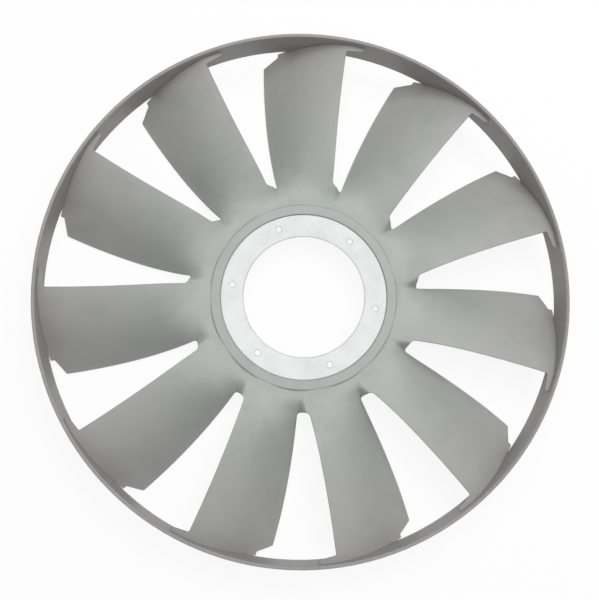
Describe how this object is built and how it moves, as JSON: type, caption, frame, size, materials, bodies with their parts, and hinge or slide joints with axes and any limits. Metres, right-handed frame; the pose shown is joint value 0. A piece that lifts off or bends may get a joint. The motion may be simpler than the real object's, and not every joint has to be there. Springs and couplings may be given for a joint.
{
  "type": "axial fan impeller",
  "caption": "Ringed axial fan wheel with cambered blades joined at their tips by a cylindrical ring, moulded in plastic round a flat metal mounting ring.",
  "frame": {"origin": "centre of the bolt circle and bore, on the mounting ring's front bolting face", "axes": "+Z along the fan axis, towards the side that the blades' front edges face; +Y through one bolt hole"},
  "size_m": [0.75, 0.75, 0.0977],
  "materials": {
    "moulded_plastic": "matt, glass-filled moulding",
    "plated_steel": "satin plated"
  },
  "bodies": {
    "root": {"fan_moulding": "moulded_plastic", "mounting_ring": "plated_steel"}
  },
  "joints": []
}
